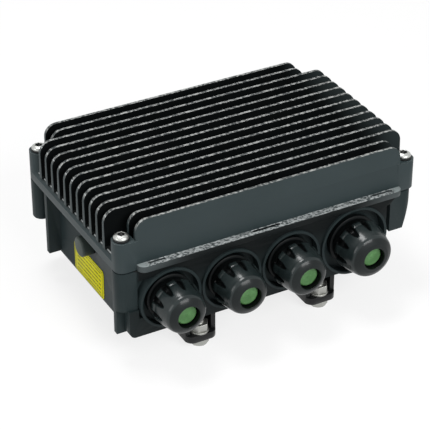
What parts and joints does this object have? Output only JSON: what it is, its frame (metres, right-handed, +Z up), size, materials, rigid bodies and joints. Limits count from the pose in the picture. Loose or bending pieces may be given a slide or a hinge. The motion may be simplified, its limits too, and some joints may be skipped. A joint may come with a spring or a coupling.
{
  "type": "stepper motor driver module",
  "caption": "Field-mounted motor driver in a finned die-cast housing, with screw-down heatsink cover, cable glands with blanking plugs, bolted feet and wiring terminals inside.",
  "frame": {"origin": "centre of the four tapped holes in the base's underside, on that face", "axes": "+X along the cooling fins, towards the end where the base is set in further; +Z up through the fins; -Y towards the cable glands"},
  "size_m": [0.2, 0.1552, 0.096],
  "materials": {
    "cover_coat": "die-cast aluminium with a charcoal powder coat, fine grain",
    "base_coat": "die-cast aluminium with a near-black powder coat, fine grain",
    "seal_rubber": "matt black rubber",
    "zinc_steel": "bright zinc-plated steel",
    "label_film": "yellow printed film, rules only",
    "vent_plastic": "satin dark plastic",
    "gland_body_plastic": "black moulded nylon",
    "gland_nut_plastic": "black moulded nylon, satin sheen",
    "plug_green": "matt green plastic",
    "pad_grey": "soft grey thermal pad",
    "board_green": "green solder mask",
    "board_blue": "blue solder mask",
    "chip_black": "black moulding compound",
    "capacitor_sleeve": "dark blue shrink sleeve",
    "ferrite": "painted ferrite",
    "copper_wire": "enamelled copper",
    "spacer_brass": "plain brass",
    "terminal_plastic": "green moulded plastic",
    "dial_orange": "orange plastic"
  },
  "bodies": {
    "base": {"base_housing": "base_coat", "collar_wall": "base_coat", "corner_pillars": "base_coat", "guard_ribs": "base_coat", "mounting_feet": "base_coat", "floor_bosses": "base_coat", "cover_gasket": "seal_rubber", "foot_bolts": "zinc_steel", "foot_bolt_washers": "zinc_steel", "foot_bolt_nuts": "zinc_steel", "rating_label": "label_film", "vent_plug": "vent_plastic", "vent_plug_seal": "seal_rubber", "vent_plug_locknut": "vent_plastic", "gland_body_1": "gland_body_plastic", "gland_body_2": "gland_body_plastic", "gland_body_3": "gland_body_plastic", "gland_body_4": "gland_body_plastic", "gland_flange_seals": "seal_rubber", "gland_locknuts": "gland_body_plastic", "terminal_board": "board_green", "terminal_board_screws": "zinc_steel", "link_socket": "chip_black", "supply_terminal": "terminal_plastic", "motor_terminal": "terminal_plastic", "signal_terminal": "terminal_plastic", "terminal_clamp_screws": "zinc_steel", "address_switches": "chip_black", "earth_screw": "spacer_brass", "earth_washer": "spacer_brass"},
    "cover": {"heatsink_cover": "cover_coat", "cover_screws": "zinc_steel", "cover_screw_washers": "zinc_steel", "thermal_pad": "pad_grey", "power_board": "board_green", "power_transistors": "chip_black", "bulk_capacitors": "capacitor_sleeve", "choke_core": "ferrite", "choke_winding": "copper_wire", "control_board": "board_blue", "board_spacers": "spacer_brass", "board_screws": "zinc_steel", "control_chips": "chip_black", "link_header": "chip_black"},
    "seal_1": {"gland_seal_1": "seal_rubber"},
    "nut_1": {"gland_nut_1": "gland_nut_plastic"},
    "plug_1": {"gland_blanking_plug_1": "plug_green"},
    "seal_2": {"gland_seal_2": "seal_rubber"},
    "nut_2": {"gland_nut_2": "gland_nut_plastic"},
    "plug_2": {"gland_blanking_plug_2": "plug_green"},
    "seal_3": {"gland_seal_3": "seal_rubber"},
    "nut_3": {"gland_nut_3": "gland_nut_plastic"},
    "plug_3": {"gland_blanking_plug_3": "plug_green"},
    "seal_4": {"gland_seal_4": "seal_rubber"},
    "nut_4": {"gland_nut_4": "gland_nut_plastic"},
    "plug_4": {"gland_blanking_plug_4": "plug_green"},
    "dial_1": {"address_dial_1": "dial_orange"},
    "dial_2": {"address_dial_2": "dial_orange"}
  },
  "joints": [
    {"name": "cover_lift", "type": "slide", "parent": "base", "child": "cover", "axis": [0, 0, 1], "range_m": [0, 0.09]},
    {"name": "gland_1_seal_follow", "type": "slide", "parent": "base", "child": "seal_1", "axis": [0, -1, 0], "range_m": [0, 0.0091]},
    {"name": "gland_1_nut_turn", "type": "hinge", "parent": "seal_1", "child": "nut_1", "pos_m": [-0.068, -0.075, 0.0215], "axis": [0, -1, 0], "range_deg": [0, 2160]},
    {"name": "gland_1_plug_pull", "type": "slide", "parent": "seal_1", "child": "plug_1", "axis": [0, -1, 0], "range_m": [0, 0.025]},
    {"name": "gland_2_seal_follow", "type": "slide", "parent": "base", "child": "seal_2", "axis": [0, -1, 0], "range_m": [0, 0.0091]},
    {"name": "gland_2_nut_turn", "type": "hinge", "parent": "seal_2", "child": "nut_2", "pos_m": [-0.028, -0.075, 0.0215], "axis": [0, -1, 0], "range_deg": [0, 2160]},
    {"name": "gland_2_plug_pull", "type": "slide", "parent": "seal_2", "child": "plug_2", "axis": [0, -1, 0], "range_m": [0, 0.025]},
    {"name": "gland_3_seal_follow", "type": "slide", "parent": "base", "child": "seal_3", "axis": [0, -1, 0], "range_m": [0, 0.0091]},
    {"name": "gland_3_nut_turn", "type": "hinge", "parent": "seal_3", "child": "nut_3", "pos_m": [0.012, -0.075, 0.0215], "axis": [0, -1, 0], "range_deg": [0, 2160]},
    {"name": "gland_3_plug_pull", "type": "slide", "parent": "seal_3", "child": "plug_3", "axis": [0, -1, 0], "range_m": [0, 0.025]},
    {"name": "gland_4_seal_follow", "type": "slide", "parent": "base", "child": "seal_4", "axis": [0, -1, 0], "range_m": [0, 0.0091]},
    {"name": "gland_4_nut_turn", "type": "hinge", "parent": "seal_4", "child": "nut_4", "pos_m": [0.056, -0.075, 0.0215], "axis": [0, -1, 0], "range_deg": [0, 2160]},
    {"name": "gland_4_plug_pull", "type": "slide", "parent": "seal_4", "child": "plug_4", "axis": [0, -1, 0], "range_m": [0, 0.025]},
    {"name": "address_dial_1_turn", "type": "hinge", "parent": "base", "child": "dial_1", "pos_m": [0.049, 0.016, 0.0145], "axis": [0, 0, 1], "continuous": true},
    {"name": "address_dial_2_turn", "type": "hinge", "parent": "base", "child": "dial_2", "pos_m": [0.035, 0.016, 0.0145], "axis": [0, 0, 1], "continuous": true}
  ],
  "couplings": [
    {"joint": "gland_1_seal_follow", "follows": "gland_1_nut_turn", "m_per_rad": 0.00023873},
    {"joint": "gland_2_seal_follow", "follows": "gland_2_nut_turn", "m_per_rad": 0.00023873},
    {"joint": "gland_3_seal_follow", "follows": "gland_3_nut_turn", "m_per_rad": 0.00023873},
    {"joint": "gland_4_seal_follow", "follows": "gland_4_nut_turn", "m_per_rad": 0.00023873}
  ]
}
